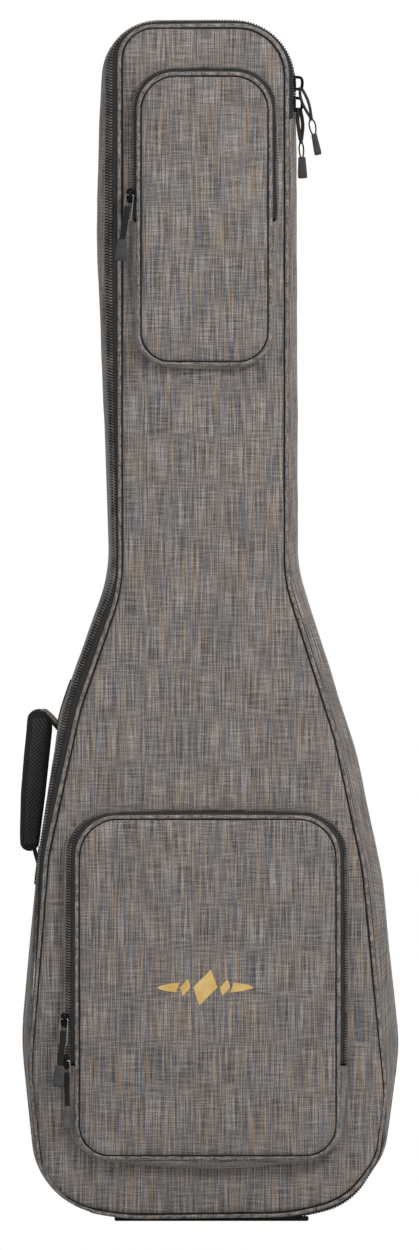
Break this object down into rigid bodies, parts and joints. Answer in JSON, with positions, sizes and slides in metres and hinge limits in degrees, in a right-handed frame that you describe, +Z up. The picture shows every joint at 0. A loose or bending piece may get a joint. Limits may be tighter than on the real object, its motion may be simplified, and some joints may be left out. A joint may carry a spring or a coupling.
{
  "type": "padded gig bag",
  "caption": "Tall padded bag for a bass guitar, with a zipped lid, zipped pockets that fold down, pullers on cords, a side handle and shoulder straps.",
  "frame": {"origin": "middle of the base bumper's flat rest face", "axes": "+Z up along the bag towards its head, front with the pockets faces -Y, +X to the right seen from the front"},
  "size_m": [0.3943, 0.1839, 1.237],
  "materials": {
    "heather_fabric": "heather grey-brown woven polyester with slub threads",
    "piping": "same heather cloth over a round cord",
    "zip_tape": "black woven zip tape",
    "zip_coil": "black nylon coil teeth, satin",
    "foam": "dark grey closed-cell foam, brushed",
    "lining": "black nylon lining cloth",
    "webbing": "black woven webbing",
    "air_mesh": "black diamond air mesh over foam",
    "cord": "black braided cord",
    "grip_rubber": "moulded matt rubber",
    "slider_metal": "gunmetal plated zinc",
    "buckle_plastic": "moulded acetal",
    "bumper_rubber": "moulded rubber"
  },
  "bodies": {
    "case": {"back_cover": "heather_fabric", "back_foam": "foam", "back_lining": "lining", "back_piping": "piping", "gusset_left": "heather_fabric", "gusset_right": "heather_fabric", "gusset_top": "heather_fabric", "gusset_bottom": "heather_fabric", "base_bumper": "bumper_rubber", "main_zip_tape_case": "zip_tape", "main_zip_coil_case": "zip_coil", "neck_cradle": "foam", "neck_strap": "webbing", "end_pad": "foam", "handle_base": "webbing", "hanging_loop": "webbing", "strap_anchors": "webbing"},
    "lid": {"front_cover": "heather_fabric", "front_foam": "foam", "front_lining": "lining", "front_piping": "piping", "main_zip_tape_lid": "zip_tape", "main_zip_coil_lid": "zip_coil", "upper_pocket_panel": "heather_fabric", "upper_pocket_wall": "heather_fabric", "upper_pocket_zip_outer": "zip_coil", "lower_pocket_panel": "heather_fabric", "lower_pocket_wall": "heather_fabric", "lower_pocket_zip_outer": "zip_coil"},
    "upper_flap": {"upper_flap_panel": "heather_fabric", "upper_flap_piping": "piping", "upper_flap_zip": "zip_coil"},
    "lower_flap": {"lower_flap_panel": "heather_fabric", "lower_flap_piping": "piping", "lower_flap_zip": "zip_coil"},
    "main_slider_a": {"main_slider_a": "slider_metal"},
    "main_slider_b": {"main_slider_b": "slider_metal"},
    "upper_slider": {"upper_slider": "slider_metal"},
    "lower_slider_a": {"lower_slider_a": "slider_metal"},
    "lower_slider_b": {"lower_slider_b": "slider_metal"},
    "main_puller_a": {"main_puller_a_cord": "cord", "main_puller_a_grip": "grip_rubber"},
    "main_puller_b": {"main_puller_b_cord": "cord", "main_puller_b_grip": "grip_rubber"},
    "upper_puller": {"upper_puller_tab": "slider_metal", "upper_puller_cord": "cord", "upper_puller_grip": "grip_rubber"},
    "lower_puller_a": {"lower_puller_a_tab": "slider_metal", "lower_puller_a_cord": "cord", "lower_puller_a_grip": "grip_rubber"},
    "lower_puller_b": {"lower_puller_b_tab": "slider_metal", "lower_puller_b_cord": "cord", "lower_puller_b_grip": "grip_rubber"},
    "handle": {"handle": "air_mesh"},
    "shoulder_strap_left": {"shoulder_pad_left": "air_mesh", "strap_webbing_left": "webbing", "strap_buckle_left": "buckle_plastic"},
    "shoulder_strap_right": {"shoulder_pad_right": "air_mesh", "strap_webbing_right": "webbing", "strap_buckle_right": "buckle_plastic"}
  },
  "joints": [
    {"name": "lid_open", "type": "hinge", "parent": "case", "child": "lid", "pos_m": [0.0975, -0.032, 1.15], "axis": [-0.0989, 0, 0.9951], "range_deg": [0, 110]},
    {"name": "upper_flap_fold", "type": "hinge", "parent": "lid", "child": "upper_flap", "pos_m": [0, -0.066, 1.03], "axis": [1, 0, 0], "range_deg": [0, 100]},
    {"name": "lower_flap_fold", "type": "hinge", "parent": "lid", "child": "lower_flap", "pos_m": [0, -0.072, 0.1575], "axis": [1, 0, 0], "range_deg": [0, 100]},
    {"name": "main_slider_a_run", "type": "hinge", "parent": "case", "child": "main_slider_a", "pos_m": [0.02187, -0.032, 1.17325], "axis": [0, -1, 0], "range_deg": [0, 60]},
    {"name": "main_slider_b_run", "type": "slide", "parent": "case", "child": "main_slider_b", "axis": [0, 0, 1], "range_m": [0, 0.004]},
    {"name": "upper_slider_run", "type": "slide", "parent": "lid", "child": "upper_slider", "axis": [0, 0, 1], "range_m": [0, 0.08]},
    {"name": "lower_slider_a_run", "type": "slide", "parent": "lid", "child": "lower_slider_a", "axis": [0, 0, 1], "range_m": [0, 0.18]},
    {"name": "lower_slider_b_run", "type": "slide", "parent": "lid", "child": "lower_slider_b", "axis": [0, 0, 1], "range_m": [0, 0.01]},
    {"name": "main_puller_a_swing", "type": "hinge", "parent": "main_slider_a", "child": "main_puller_a", "pos_m": [0.088, -0.0346, 1.172], "axis": [0, -1, 0], "range_deg": [0, 140]},
    {"name": "main_puller_b_swing", "type": "hinge", "parent": "main_slider_b", "child": "main_puller_b", "pos_m": [0.088, -0.0298, 1.1505], "axis": [0, -1, 0], "range_deg": [0, 140]},
    {"name": "upper_puller_swing", "type": "hinge", "parent": "upper_slider", "child": "upper_puller", "pos_m": [-0.084, -0.0612, 1.056], "axis": [-1, 0, 0], "range_deg": [0, 140]},
    {"name": "lower_puller_a_swing", "type": "hinge", "parent": "lower_slider_a", "child": "lower_puller_a", "pos_m": [-0.1518, -0.0652, 0.207], "axis": [-1, 0, 0], "range_deg": [0, 140]},
    {"name": "lower_puller_b_swing", "type": "hinge", "parent": "lower_slider_b", "child": "lower_puller_b", "pos_m": [-0.1512, -0.0652, 0.1638], "axis": [-1, 0, 0], "range_deg": [0, 120]},
    {"name": "handle_swing", "type": "hinge", "parent": "case", "child": "handle", "pos_m": [-0.164, 0.006, 0.534], "axis": [0.1593, 0, 0.9872], "range_deg": [-30, 30]},
    {"name": "shoulder_strap_left_sway", "type": "hinge", "parent": "case", "child": "shoulder_strap_left", "pos_m": [-0.045, 0.046, 0.85], "axis": [0.088, 0, 0.9961], "range_deg": [-12, 12]},
    {"name": "shoulder_strap_right_sway", "type": "hinge", "parent": "case", "child": "shoulder_strap_right", "pos_m": [0.045, 0.046, 0.85], "axis": [-0.088, 0, 0.9961], "range_deg": [-12, 12]}
  ]
}
